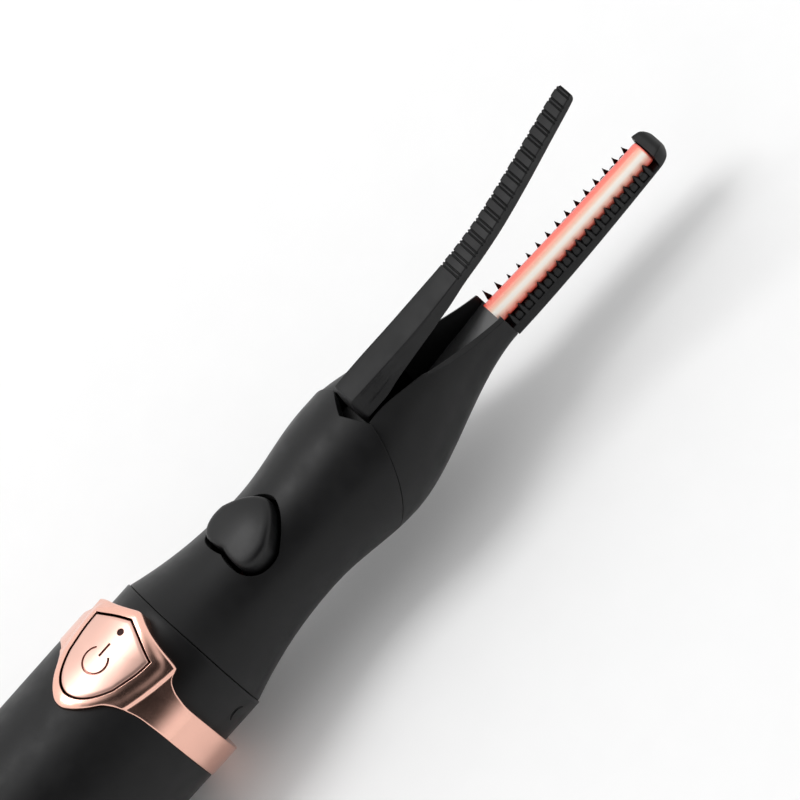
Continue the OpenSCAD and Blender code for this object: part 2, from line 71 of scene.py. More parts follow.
def smooth(t):
    t = max(0.0, min(1.0, t))
    return t * t * (3 - 2 * t)


def spline(points, x):
    """Monotone cubic through (x, value) points."""
    n = len(points)
    if x <= points[0][0]:
        return points[0][1]
    if x >= points[-1][0]:
        return points[-1][1]
    slopes = [(points[i + 1][1] - points[i][1]) / (points[i + 1][0] - points[i][0]) for i in range(n - 1)]
    tangents = [slopes[0]] + [
        0.0 if slopes[i - 1] * slopes[i] <= 0
        else 2 * slopes[i - 1] * slopes[i] / (slopes[i - 1] + slopes[i])
        for i in range(1, n - 1)
    ] + [slopes[-1]]
    i = max(k for k in range(n - 1) if points[k][0] <= x)
    h = points[i + 1][0] - points[i][0]
    t = (x - points[i][0]) / h
    return (
        (2 * t ** 3 - 3 * t * t + 1) * points[i][1] + (t ** 3 - 2 * t * t + t) * h * tangents[i]
        + (3 * t * t - 2 * t ** 3) * points[i + 1][1] + (t ** 3 - t * t) * h * tangents[i + 1]
    )


def mesh_object(name, verts, faces):
    mesh = bpy.data.meshes.new(name)
    mesh.from_pydata([tuple(v) for v in verts], [], faces)
    bm = bmesh.new()
    bm.from_mesh(mesh)
    bmesh.ops.recalc_face_normals(bm, faces=bm.faces)
    bm.to_mesh(mesh)
    bm.free()
    obj = bpy.data.objects.new(name, mesh)
    scene.collection.objects.link(obj)
    return obj


def loft(name, rings, ring_loop=False):
    """Skin over rings of equal length, capped at both ends, or joined up with ring_loop."""
    n, m = len(rings[0]), len(rings)
    verts = [p for ring in rings for p in ring]
    faces = []
    for j in range(m if ring_loop else m - 1):
        a, b = j * n, ((j + 1) % m) * n
        faces += [(a + i, a + (i + 1) % n, b + (i + 1) % n, b + i) for i in range(n)]
    if not ring_loop:
        faces += [tuple(range(n - 1, -1, -1)), tuple(range((m - 1) * n, m * n))]
    return mesh_object(name, verts, faces)


def turned(name, profile, segments=192):
    """Closed (x, radius) profile turned about the X axis."""
    rings = []
    for k in range(segments):
        a = 2 * math.pi * k / segments
        rings.append([(x, r * math.sin(a), r * math.cos(a)) for x, r in profile])
    return loft(name, rings, ring_loop=True)


def prism(name, outline, z0, z1):
    return loft(name, [[(x, y, z0) for x, y in outline], [(x, y, z1) for x, y in outline]])


def side_prism(name, outline, y0, y1):
    return loft(name, [[(x, y0, z) for x, z in outline], [(x, y1, z) for x, z in outline]])


def rod(name, a, b, radius, segments=64):
    a, b = Vector(a), Vector(b)
    d = (b - a).normalized()
    u = d.orthogonal().normalized()
    v = d.cross(u)
    ring = [radius * (math.cos(t) * u + math.sin(t) * v)
            for t in (2 * math.pi * k / segments for k in range(segments))]
    return loft(name, [[a + p for p in ring], [b + p for p in ring]])


def box(name, lo, hi):
    return prism(name, [(lo[0], lo[1]), (hi[0], lo[1]), (hi[0], hi[1]), (lo[0], hi[1])], lo[2], hi[2])


def combine(obj, others, operation):
    for other in others:
        mod = obj.modifiers.new("bool", "BOOLEAN")
        mod.operation = operation
        mod.solver = "EXACT"
        mod.object = other
        bpy.context.view_layer.update()
        result = bpy.data.meshes.new_from_object(obj.evaluated_get(bpy.context.evaluated_depsgraph_get()))
        obj.modifiers.clear()
        obj.data = result
        bpy.data.objects.remove(other)
    return obj


def cut(obj, *others):
    return combine(obj, others, "DIFFERENCE")


def fuse(obj, *others):
    return combine(obj, others, "UNION")


def piece(obj, name, material, body, nodes, sharp=32):
    """Puts a finished mesh into the row's frame, gives it its finish, ties it to its body and hides the CAD
    nodes it stands in for.
    """
    bm = bmesh.new()
    bm.from_mesh(obj.data)
    bmesh.ops.remove_doubles(bm, verts=bm.verts, dist=1e-4)
    bmesh.ops.dissolve_degenerate(bm, dist=1e-5, edges=bm.edges)
    bm.to_mesh(obj.data)
    bm.free()
    obj.data.transform(TO_ROW)
    obj.name = obj.data.name = name
    obj.data.materials.clear()
    obj.data.materials.append(material)
    obj.data.shade_smooth()
    obj.data.set_sharp_from_angle(angle=math.radians(sharp))
    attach(obj, body)
    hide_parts(*nodes)
    return obj


# ---------------------------------------------------------------- camera, light and floor
ELEVATION, ROLL = math.radians(55), math.radians(48)
ALONG = Vector((1, 0, 0))
ACROSS = Vector((0, math.sin(ELEVATION), math.cos(ELEVATION)))
BACK = Vector((0, -math.cos(ELEVATION), math.sin(ELEVATION)))
RIGHT = ALONG * math.cos(ROLL) - ACROSS * math.sin(ROLL)
UP = ALONG * math.sin(ROLL) + ACROSS * math.cos(ROLL)
TARGET = Vector((0.0445, 0.00082, 0.01117))
DISTANCE, VIEW_WIDTH = 1.2, 0.08296


def facing(right, up, back, place):
    m = Matrix.Identity(4)
    for i in range(3):
        m[i][0], m[i][1], m[i][2], m[i][3] = right[i], up[i], back[i], place[i]
    return m


camera_data = bpy.data.cameras.new("camera")
camera_data.sensor_width = 36
camera_data.lens = 36 * DISTANCE / VIEW_WIDTH
camera_data.clip_start = 0.05
camera = bpy.data.objects.new("camera", camera_data)
camera.matrix_world = facing(RIGHT, UP, BACK, TARGET + BACK * DISTANCE)
scene.collection.objects.link(camera)
scene.camera = camera
scene.view_settings.view_transform = "Standard"


def softbox(name, direction, distance, size, power):
    """Area light that looks at the object from a direction given as (right, up, back) of the view."""
    away = (RIGHT * direction[0] + UP * direction[1] + BACK * direction[2]).normalized()
    data = bpy.data.lights.new(name, "AREA")
    data.shape = "RECTANGLE"
    data.size, data.size_y = size
    data.energy = power
    light = bpy.data.objects.new(name, data)
    side = ALONG.cross(away).normalized()
    light.matrix_world = facing(away.cross(side).normalized() * -1, side, away, TARGET + away * distance)
    scene.collection.objects.link(light)


softbox("key_light", (-1.0, 0.45, 0.62), 0.9, (0.6, 0.3), 3.0)

# Studio dome: pale all round, with a dark flag over the side that the view comes from
world = bpy.data.worlds.new("studio")
scene.world = world
world.use_nodes = True
dome = world.node_tree
heading = dome.nodes.new("ShaderNodeTexCoord")
toward = dome.nodes.new("ShaderNodeVectorMath")
toward.operation = "DOT_PRODUCT"
toward.inputs[1].default_value = BACK
flag = dome.nodes.new("ShaderNodeValToRGB")
flag.color_ramp.interpolation = "EASE"
flag.color_ramp.elements[0].position = 0.70
flag.color_ramp.elements[0].color = (1, 1, 1, 1)
flag.color_ramp.elements[1].position = 0.93
flag.color_ramp.elements[1].color = (0.02, 0.02, 0.02, 1)
dome.links.new(heading.outputs["Generated"], toward.inputs[0])
dome.links.new(toward.outputs["Value"], flag.inputs["Fac"])
dome.links.new(flag.outputs["Color"], dome.nodes["Background"].inputs["Color"])
dome.nodes["Background"].inputs["Strength"].default_value = 1.1


# ---------------------------------------------------------------- materials
def new_material(name):
    material = bpy.data.materials.new(name)
    material.use_nodes = True
    tree = material.node_tree
    return material, tree, tree.nodes["Principled BSDF"]


def add(tree, kind, **values):
    node = tree.nodes.new(kind)
    for key, value in values.items():
        if key in node.inputs:
            node.inputs[key].default_value = value
        else:
            setattr(node, key, value)
    return node


def noise(tree, size_mm, detail=3.0, stretch=(1, 1, 1)):
    """Noise in the object's own space, with features of about size_mm."""
    place = add(tree, "ShaderNodeTexCoord")
    mapping = add(tree, "ShaderNodeMapping")
    mapping.inputs["Scale"].default_value = stretch
    texture = add(tree, "ShaderNodeTexNoise", Scale=1000.0 / size_mm, Detail=detail)
    tree.links.new(place.outputs["Object"], mapping.inputs["Vector"])
    tree.links.new(mapping.outputs["Vector"], texture.inputs["Vector"])
    return texture.outputs["Fac"]


def ramp(tree, source, low, high):
    node = add(tree, "ShaderNodeValToRGB")
    node.color_ramp.elements[0].position = 0.35
    node.color_ramp.elements[1].position = 0.65
    node.color_ramp.elements[0].color = (*low, 1)
    node.color_ramp.elements[1].color = (*high, 1)
    tree.links.new(source, node.inputs["Fac"])
    return node.outputs["Color"]


def spread(tree, source, low, high):
    node = add(tree, "ShaderNodeMapRange")
    node.inputs["From Min"].default_value = 0.3
    node.inputs["From Max"].default_value = 0.7
    node.inputs["To Min"].default_value = low
    node.inputs["To Max"].default_value = high
    tree.links.new(source, node.inputs["Value"])
    return node.outputs["Result"]


def bumped(tree, shader, source, height_mm, edge_mm):
    """Bump of a real height, over edges that are softened by a small radius."""
    edge = add(tree, "ShaderNodeBevel", samples=6)
    edge.inputs["Radius"].default_value = edge_mm / 1000
    bump = add(tree, "ShaderNodeBump", Strength=1.0, Distance=height_mm / 1000)
    tree.links.new(source, bump.inputs["Height"])
    tree.links.new(edge.outputs["Normal"], bump.inputs["Normal"])
    tree.links.new(bump.outputs["Normal"], shader.inputs["Normal"])


def plastic(name, color, rough, grain_mm, grain_height, edge_mm=0.12, vary=0.12, sheen=0.0,
            metallic=0.0, coat=0.0, stretch=(1, 1, 1), specular=0.5):
    """Moulded or plated surface: a fine grain, a slow drift of tone, and an uneven roughness."""
    material, tree, shader = new_material(name)
    slow = noise(tree, 6.0, 2.0)
    fine = noise(tree, grain_mm, 2.0, stretch)
    tree.links.new(
        ramp(tree, slow, [c * (1 - vary) for c in color], [min(1, c * (1 + vary)) for c in color]),
        shader.inputs["Base Color"])
    worn = spread(tree, noise(tree, 2.2, 4.0), rough * 0.88, rough * 1.12)
    tree.links.new(worn, shader.inputs["Roughness"])
    shader.inputs["Metallic"].default_value = metallic
    shader.inputs["Specular IOR Level"].default_value = specular
    shader.inputs["Sheen Weight"].default_value = sheen
    shader.inputs["Sheen Roughness"].default_value = 0.4
    shader.inputs["Coat Weight"].default_value = coat
    bumped(tree, shader, fine, grain_height, edge_mm)
    return material


def paint_groove_shade(material, dark, reach_mm):
    """Painted shade in the narrow grooves of a plated part: the colour darkens towards the given dark colour
    where ambient occlusion finds close surfaces.
    """
    tree = material.node_tree
    shader = tree.nodes["Principled BSDF"]
    source = shader.inputs["Base Color"].links[0].from_socket
    near = add(tree, "ShaderNodeAmbientOcclusion", samples=6)
    near.inputs["Distance"].default_value = reach_mm / 1000
    fade = add(tree, "ShaderNodeMapRange")
    fade.inputs["From Min"].default_value = 0.25
    fade.inputs["From Max"].default_value = 0.7
    fade.inputs["To Min"].default_value = 0.0
    mix = add(tree, "ShaderNodeMix", data_type="RGBA")
    mix.inputs[6].default_value = (*dark, 1)
    tree.links.new(near.outputs["AO"], fade.inputs["Value"])
    tree.links.new(fade.outputs["Result"], mix.inputs[0])
    tree.links.new(source, mix.inputs[7])
    tree.links.new(mix.outputs[2], shader.inputs["Base Color"])
    return material


def coral_tube():
    """Heated tube: coral, with painted light and shade set by surface direction. It is deep red on the side
    turned away and runs to a painted cream and white highlight along the line that faces up and out of the
    comb. It also has a faint painted glow.
    """
    material, tree, shader = new_material("coral_tube_painted_highlight")
    place = add(tree, "ShaderNodeNewGeometry")
    highlight_facing = add(tree, "ShaderNodeVectorMath", operation="DOT_PRODUCT")
    highlight_facing.inputs[1].default_value = (0.0, -0.66, 0.75)
    tree.links.new(place.outputs["Normal"], highlight_facing.inputs[0])
    # painted light and shade: this ramp runs from deep red on faces turned away to a white painted highlight
    # on faces turned up and out
    tone = add(tree, "ShaderNodeValToRGB")
    stops = [(0.0, (0.45, 0.03, 0.02)), (0.4, (0.76, 0.10, 0.07)), (0.72, (0.86, 0.21, 0.15)),
             (0.87, (0.90, 0.42, 0.31)), (0.955, (0.95, 0.68, 0.55)), (0.995, (1.0, 0.93, 0.86))]
    while len(tone.color_ramp.elements) < len(stops):
        tone.color_ramp.elements.new(0.5)
    for element, (position, color) in zip(tone.color_ramp.elements, stops):
        element.position = position
        element.color = (*color, 1)
    tree.links.new(highlight_facing.outputs["Value"], tone.inputs["Fac"])
    tree.links.new(tone.outputs["Color"], shader.inputs["Base Color"])
    tree.links.new(tone.outputs["Color"], shader.inputs["Emission Color"])
    # painted glow: the tube is no lamp, this emission only lifts its painted colour
    shader.inputs["Emission Strength"].default_value = 0.12
    tree.links.new(spread(tree, noise(tree, 0.8), 0.2, 0.3), shader.inputs["Roughness"])
    shader.inputs["Coat Weight"].default_value = 0.5
    bumped(tree, shader, noise(tree, 0.25), 0.002, 0.1)
    return material


SOFT_BLACK = plastic("soft_touch_black", (0.006, 0.006, 0.0064), 0.46, 0.07, 0.003, 0.15,
                     sheen=0.02, specular=0.24)
HEAD_BLACK = plastic("head_soft_black", (0.006, 0.006, 0.0064), 0.44, 0.08, 0.003, 0.12,
                     sheen=0.02, specular=0.24)
CAP_BLACK = plastic("cap_satin_black", (0.006, 0.006, 0.0062), 0.36, 0.06, 0.003, 0.2, specular=0.28)
COLLAR_BLACK = plastic("collar_satin_black", (0.006, 0.006, 0.0064), 0.4, 0.09, 0.004, 0.08, specular=0.24)
# painted sheen: a paler grey put on the channel's ramp faces
RAMP_PAINTED_SHEEN = plastic("ramp_painted_sheen_grey", (0.085, 0.086, 0.088), 0.4, 0.08, 0.003, 0.12)
HEART_BLACK = plastic("button_satin_black", (0.006, 0.006, 0.0064), 0.38, 0.06, 0.002, 0.2, specular=0.28)
ARM_BLACK = plastic("arm_moulded_black", (0.007, 0.007, 0.0074), 0.46, 0.07, 0.004, 0.06, specular=0.24)
COMB_BLACK = plastic("comb_moulded_black", (0.004, 0.004, 0.0043), 0.4, 0.05, 0.004, 0.05, specular=0.24)
# the dark reds given below are painted shade for the grooves of the ring and the key
ROSE_GOLD = paint_groove_shade(
    plastic("rose_gold_plate", (0.88, 0.51, 0.41), 0.22, 0.05, 0.0012, 0.1, vary=0.03, metallic=1.0),
    (0.2, 0.02, 0.01), 0.5)
KEY_GOLD = paint_groove_shade(
    plastic("rose_gold_key", (0.78, 0.49, 0.41), 0.36, 0.04, 0.0015, 0.06, vary=0.02, metallic=0.9,
            stretch=(0.15, 1, 1)),
    (0.22, 0.03, 0.02), 0.45)
CORAL = coral_tube()

CARRIED = {
    "light_pipe": plastic("smoked_light_pipe", (0.035, 0.006, 0.004), 0.3, 0.1, 0.001, specular=0.12),
    "tact_switch": plastic("switch_body", (0.03, 0.03, 0.03), 0.5, 0.08, 0.004),
    "switch_plunger": plastic("switch_plunger_nylon", (0.72, 0.7, 0.64), 0.45, 0.1, 0.003),
    "status_led": plastic("led_phosphor", (0.9, 0.8, 0.42), 0.3, 0.1, 0.002, coat=0.5),
    "main_board": plastic("board_solder_mask", (0.015, 0.14, 0.07), 0.32, 0.3, 0.006, 0.03,
                          vary=0.3, coat=0.3),
    "charging_board": plastic("charger_solder_mask", (0.015, 0.12, 0.08), 0.32, 0.3, 0.006, 0.03,
                              vary=0.3, coat=0.3),
    "board_components": plastic("chip_epoxy", (0.02, 0.02, 0.022), 0.55, 0.06, 0.005, 0.05),
    "charger_components": plastic("charger_chip_epoxy", (0.022, 0.02, 0.02), 0.55, 0.06, 0.005, 0.05),
    "board_screws": plastic("zinc_screw", (0.62, 0.62, 0.6), 0.3, 0.05, 0.003, 0.06, metallic=1.0),
    "chassis_tray": plastic("tray_abs", (0.6, 0.6, 0.56), 0.5, 0.15, 0.006, 0.1),
    "battery_cell": plastic("cell_shrink_sleeve", (0.06, 0.16, 0.45), 0.28, 0.8, 0.01, 0.2, coat=0.4),
    "battery_tabs": plastic("nickel_strip", (0.66, 0.64, 0.6), 0.28, 0.05, 0.002, 0.05, metallic=1.0,
                            stretch=(1, 0.1, 1)),
    "battery_lead_positive": plastic("red_silicone_lead", (0.55, 0.02, 0.015), 0.45, 0.2, 0.004),
    "battery_lead_negative": plastic("black_silicone_lead", (0.02, 0.02, 0.02), 0.45, 0.2, 0.004),
    "heater_lead_live": plastic("red_glass_sleeve", (0.10, 0.012, 0.01), 0.6, 0.12, 0.01, stretch=(1, 3, 3)),
    "heater_lead_return": plastic("white_glass_sleeve", (0.72, 0.7, 0.66), 0.6, 0.12, 0.01,
                                  stretch=(1, 3, 3)),
    "usb_c_socket": plastic("socket_stainless", (0.6, 0.6, 0.61), 0.25, 0.04, 0.0015, 0.06, metallic=1.0,
                            stretch=(0.15, 1, 1)),
    "pivot_pin": plastic("ground_steel_pin", (0.58, 0.58, 0.6), 0.18, 0.04, 0.001, 0.05, metallic=1.0,
                         stretch=(1, 0.15, 1)),
    "return_spring": plastic("spring_wire", (0.5, 0.5, 0.52), 0.25, 0.05, 0.001, 0.03, metallic=1.0),
    "heater_core": plastic("alumina_heater", (0.82, 0.8, 0.74), 0.6, 0.1, 0.006),
    "temperature_sensor": plastic("thermistor_glass", (0.03, 0.03, 0.05), 0.1, 0.1, 0.001, coat=0.8),
    "rod_holder": plastic("heatproof_polymer", (0.62, 0.55, 0.42), 0.55, 0.1, 0.008, 0.1),
}
for node_name, node_material in CARRIED.items():
    node_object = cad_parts[node_name]
    node_object.data.materials.clear()
    node_object.data.materials.append(node_material)

floor = mesh_object("studio_floor", [(-1500, -1500, -10.6), (1500, -1500, -10.6), (1500, 1500, -10.6),
                                     (-1500, 1500, -10.6)], [(0, 1, 2, 3)])
floor.data.transform(TO_ROW)
floor.data.materials.append(plastic("studio_paper", (0.92, 0.92, 0.92), 0.8, 0.5, 0.0, 0.1, vary=0.004))

# ---------------------------------------------------------------- handle, cap and collar
END_X, TIP_X, CAP_SEAM_X = -94.0, 71.0, -89.0
BAND_BACK, BAND_FRONT = -8.9, -5.1
RING_R, COLLAR_R = 10.6, 9.13
KEY_SHAPE = (-12.47, 3.75, (-4.25, 4.55), -2.34)
BEZEL_SHAPE = (-13.9, 5.3, (-3.0, 6.5), -1.1)


def shield_side(tip, low, corner, top, n=(14, 12, 14)):
    """One side of a shield, from its point at the back to the middle of its front."""
    side = curve([(tip, 0), (tip + 0.1, low * 0.42), (tip + 1.2, low * 0.72), (tip + 3.6, low)], n[0])
    side += curve([(tip + 3.6, low), (tip + 5.6, low * 1.12), (corner[0] - 2, corner[1] * 0.99), corner],
                  n[1])[1:]
    side += curve([corner, (corner[0] + 0.5, corner[1] * 0.7), (top - 0.9, 2.4), (top, 0)], n[2])[1:]
    return side


def both_sides(side):
    return side + [(x, -y) for x, y in reversed(side[1:-1])]


def grown(outline, d):
    """Outline moved outwards by d along its own normals."""
    n = len(outline)
    area = sum(outline[i - 1][0] * outline[i][1] - outline[i][0] * outline[i - 1][1] for i in range(n))
    d = -d if area > 0 else d
    out = []
    for i in range(n):
        a, b, c = (Vector(outline[k % n]) for k in (i - 1, i, i + 1))
        e, f = (b - a).normalized(), (c - b).normalized()
        t = (e + f).normalized()
        scale = min(1.6, 1 / max(0.3, t.dot(f)))
        out.append((b.x - t.y * d * scale, b.y + t.x * d * scale))
    return out


KEY_OUTLINE = both_sides(shield_side(*KEY_SHAPE))

# The ring's two edges, as (angle from the top in degrees, x)
BACK_EDGE = [(0, -13.9), (1.5, -13.89), (3, -13.83), (6, -13.55), (9.5, -13.1), (15, -12.1), (21, -10.75),
             (30, -9.8), (43, -9.2), (63, -9.0), (100, BAND_BACK), (180, BAND_BACK)]
FRONT_EDGE = [(0, -1.1), (1.5, -1.11), (3.5, -1.22), (8, -1.6), (16, -2.12), (25, -2.45), (33, -2.66),
              (37, -2.85), (39.0, -3.9), (41.5, -4.4), (48, -4.93), (59, -5.22), (80, -5.15),
              (120, BAND_FRONT), (180, BAND_FRONT)]

handle = turned("handle", [
    (CAP_SEAM_X, 8.9), (CAP_SEAM_X, 9.9), (CAP_SEAM_X + 0.03, 9.96), (CAP_SEAM_X + 0.12, 10.0)]
    + [(CAP_SEAM_X + (BAND_BACK - CAP_SEAM_X) * i / 40, 10.0 + 0.5 * i / 40) for i in range(1, 40)]
    + [(BAND_BACK - 0.1, 10.49), (BAND_BACK, 10.4), (BAND_BACK, 8.9)])
seat_side = [(spline(BACK_EDGE, 2 * k) - 0.02, 10.5 * math.sin(math.radians(2 * k))) for k in range(39)]
seat_outline = seat_side + [(0, seat_side[-1][1])]
seat = prism("seat", seat_outline[::-1] + [(x, -y) for x, y in seat_outline[1:]], 1, 14)
cut(handle, cut(seat, rod("bed", (-30, 0, 0), (5, 0, 0), 9.74, 192)),
    prism("way", grown(KEY_OUTLINE, 0.2), 5, 14))
piece(handle, "handle_barrel", SOFT_BLACK, "handle", ["handle_shell"])

cap = turned("cap", [
    (END_X + 1.6, 0.001), (END_X, 0.001), (END_X, 6.9), (END_X + 0.03, 7.6), (END_X + 0.13, 8.2),
    (END_X + 0.4, 8.8), (END_X + 0.9, 9.3), (END_X + 1.5, 9.65), (END_X + 2.3, 9.88),
    (END_X + 3.2, 9.96), (END_X + 4.8, 9.98),
    (END_X + 4.92, 9.96), (END_X + 4.97, 9.9), (END_X + 4.97, 8.78), (END_X + 9, 8.78), (END_X + 9, 7.5),
    (END_X + 1.6, 7.5)])
port = [(2.85 * s + 1.75 * math.cos(a), 1.75 * math.sin(a))
        for s, start in ((1, -90), (-1, 90)) for a in (math.radians(start + 10 * k) for k in range(19))]
cut(cap, loft("port", [[(END_X + x, y * f, z * f) for y, z in port]
                       for x, f in ((-1, 1.12), (0, 1.1), (0.25, 1.0), (3, 1.0))]))
piece(cap, "end_cap_moulding", CAP_BLACK, "handle", ["end_cap"])

collar = turned("collar", [
    (-18, 7.75), (-18, 8.78), (-9.0, 8.78), (-8.8, 9.1), (-4.9, COLLAR_R)]
    + [(-4.9 + 4.7 * i / 10, COLLAR_R) for i in range(1, 10)]
    + [(-0.12, COLLAR_R), (-0.04, COLLAR_R - 0.03), (-0.01, COLLAR_R - 0.1), (-0.01, 7.75)], 256)
cut(collar, prism("way", grown(KEY_OUTLINE, 0.2), 5, 14))


def surface_tube(name, points, radius, r_surface):
    """Raised line laid on a cylinder: points are (x, angle from the top in degrees, width factor)."""
    rings = []
    for i, (x, deg, w) in enumerate(points):
        a = math.radians(deg)
        normal = Vector((0, math.sin(a), math.cos(a)))
        p0, p1 = points[max(0, i - 1)], points[min(len(points) - 1, i + 1)]
        d = Vector((p1[0] - p0[0], r_surface * math.radians(p1[1] - p0[1]), 0)).normalized()
        tangent = Vector((0, math.cos(a), -math.sin(a)))
        side = Vector((-d.y, 0, 0)) + tangent * d.x
        centre = Vector((x, 0, 0)) + normal * (r_surface - radius * 0.45)
        rings.append([centre + radius * w * (math.cos(t) * side * 1.3 + math.sin(t) * normal)
                      for t in (2 * math.pi * k / 10 for k in range(10))])
    return loft(name, rings)


for side in (-1, 1):
    mark = []
    for k in range(15):
        t = -1 + 2 * k / 14
        mark.append((-2.35 + 0.95 * math.sin(t * 1.35), side * (94.0 + 5.0 * (1 - math.cos(t * 1.35))),
                     0.3 + 0.7 * (1 - t * t)))
    cut(collar, surface_tube("mark", mark, 0.2, COLLAR_R + 0.06))
piece(collar, "collar_sleeve", COLLAR_BLACK, "handle", ["front_collar"])

# ---------------------------------------------------------------- rose-gold ring with its shield
def distance_to(outline, x, y):
    """Signed distance from an outline in plan: negative inside."""
    best, inside = 1e9, False
    n = len(outline)
    for i in range(n):
        (x0, y0), (x1, y1) = outline[i], outline[(i + 1) % n]
        dx, dy = x1 - x0, y1 - y0
        t = max(0, min(1, ((x - x0) * dx + (y - y0) * dy) / (dx * dx + dy * dy)))
        best = min(best, (x - x0 - t * dx) ** 2 + (y - y0 - t * dy) ** 2)
        if (y0 > y) != (y1 > y) and x < x0 + (y - y0) / dy * dx:
            inside = not inside
    return -math.sqrt(best) if inside else math.sqrt(best)


COARSE_KEY = both_sides(shield_side(*KEY_SHAPE, n=(7, 5, 6)))
COARSE_BEZEL = both_sides(shield_side(*BEZEL_SHAPE, n=(7, 5, 6)))


def plate_radius(x, deg):
    """Outer radius of the plate: the band, the flare, and the sloping frame with its inner lip."""
    if abs(deg) > 62:
        return RING_R
    y = 10.9 * math.sin(math.radians(deg))
    out = distance_to(COARSE_BEZEL, x, y)
    if out > 0.35:
        return RING_R
    gap = distance_to(COARSE_KEY, x, y)
    frame_top = 11.2 - 0.34 * smooth((gap - 0.45) / 1.3)
    return RING_R + (frame_top - RING_R) * (1 - smooth((out + 0.12) / 0.42))


angles = sorted({*(0.75 * k for k in range(-84, 85)), *(3.0 * k for k in range(-59, 61)),
                 *(s * (36.5 + 0.25 * k) for k in range(16) for s in (-1, 1))})
rings = []
for deg in angles:
    a = math.radians(deg)
    x0, x1 = spline(BACK_EDGE, abs(deg)), spline(FRONT_EDGE, abs(deg))
    section = []
    for k in range(45):
        t = k / 44
        t = 0.5 - 0.5 * math.cos(math.pi * t) * (0.75 + 0.25 * abs(math.cos(math.pi * t)))
        x = x0 + (x1 - x0) * t
        r = plate_radius(x, deg)
        rim = min(x - x0, x1 - x)
        if rim < 0.18:
            r -= 0.12 * (1 - math.sqrt(max(0.0, 1 - ((0.18 - rim) / 0.18) ** 2)))
        section.append((x, r))
    section += [(x1, 10.3), (x1, 9.15)]
    mid = max(x0, BAND_BACK + 0.05)
    section += [(mid, 9.15), (mid, 9.76), (x0, 9.76), (x0, 10.3)]
    rings.append([(x, r * math.sin(a), r * math.cos(a)) for x, r in section])
plate = loft("plate", rings, ring_loop=True)
cut(plate, prism("hole", grown(KEY_OUTLINE, 0.15), 5, 14))
piece(plate, "accent_ring_plate", ROSE_GOLD, "handle", ["accent_ring"], sharp=38)

# ---------------------------------------------------------------- power key
KEY_FACE_R = 11.17
key_centre = Vector((-7.2, 0.0))


def inset(outline, centre, f):
    return [(centre.x + (x - centre.x) * f, centre.y + (y - centre.y) * f) for x, y in outline]


key_rings = []
edge_line = grown(KEY_OUTLINE, -0.1)
for drop, f, bottom in ((0, 1.0, 9.95), (0.5, 1.0, None), (0.14, 1.0, None), (0.05, 0.992, None),
                        (0.0, 0.975, None)):
    line = inset(edge_line, key_centre, f)
    key_rings.append([(x, y, bottom or math.sqrt(KEY_FACE_R ** 2 - y * y) - drop) for x, y in line])
for f in (0.9, 0.8, 0.65, 0.5, 0.35, 0.2, 0.08):
    key_rings.append([(x, y, math.sqrt(KEY_FACE_R ** 2 - y * y))
                      for x, y in inset(edge_line, key_centre, f)])
key = loft("key", key_rings)
SYMBOL_X, SYMBOL_R = -7.9, 1.5


def ribbon(name, centre_line, half, z0, z1):
    left, right = [], []
    for i, p in enumerate(centre_line):
        a, b = Vector(centre_line[max(0, i - 1)]), Vector(centre_line[min(len(centre_line) - 1, i + 1)])
        d = (b - a).normalized()
        left.append((p[0] - d.y * half, p[1] + d.x * half))
        right.append((p[0] + d.y * half, p[1] - d.x * half))
    return prism(name, left + right[::-1], z0, z1)


arc = [(SYMBOL_X + SYMBOL_R * math.cos(a), SYMBOL_R * math.sin(a))
       for a in (math.radians(42 + 276 * k / 48) for k in range(49))]
cut(key, ribbon("arc", arc, 0.12, KEY_FACE_R - 0.3, 13),
    ribbon("bar", [(SYMBOL_X + 0.6, 0), (SYMBOL_X + 2.3, 0)], 0.13, KEY_FACE_R - 0.22, 13),
    rod("hole", (-4.0, 0, 5), (-4.0, 0, 13), 0.405))
fuse(key, rod("stem", (-7.4, 0, 8.72), (-7.4, 0, 10.4), 1.1))
piece(key, "power_key_cap", KEY_GOLD, "power_key", ["power_button"], sharp=40)

# ---------------------------------------------------------------- head
WAIST_X, BULGE_X, BULGE_R = 14.3, 25.7, 7.94
PIN_X, PIN_Z, STEM_X = 22.6, 4.5, 12.6
FLARE = [(0, 8.95), (4.5, 7.6), (9, 6.83), (WAIST_X, 6.83)]
BULGE = [(WAIST_X, 6.83), (18.5, 6.83), (21.5, BULGE_R), (BULGE_X, BULGE_R)]
PARTING_X, PARTING_SLOPE = 25.12, 0.558


def head_radius(x):
    return curve_at(FLARE, x) if x < WAIST_X else curve_at(BULGE, x) if x < BULGE_X else BULGE_R


def parting_box(name, shift, forward):
    """Half space in front of (or behind) the leaning plane between head and nose."""
    far = 80 if forward else -80
    low, high = PARTING_X + shift - 30 * PARTING_SLOPE, PARTING_X + shift + 30 * PARTING_SLOPE
    return side_prism(name, [(low, -30), (high, 30), (high + far, 30), (low + far, -30)], -20, 20)


HEART_SIDE = (curve([(16.3, 0), (16.2, 1.1), (15.0, 2.5), (12.6, 3.75)], 14)
              + curve([(12.6, 3.75), (11.6, 4.05), (9.0, 4.25), (9.0, 2.2)], 14)[1:]
              + curve([(9.0, 2.2), (9.0, 1.2), (9.15, 0.6), (9.35, 0)], 8)[1:])
HEART = both_sides(HEART_SIDE)

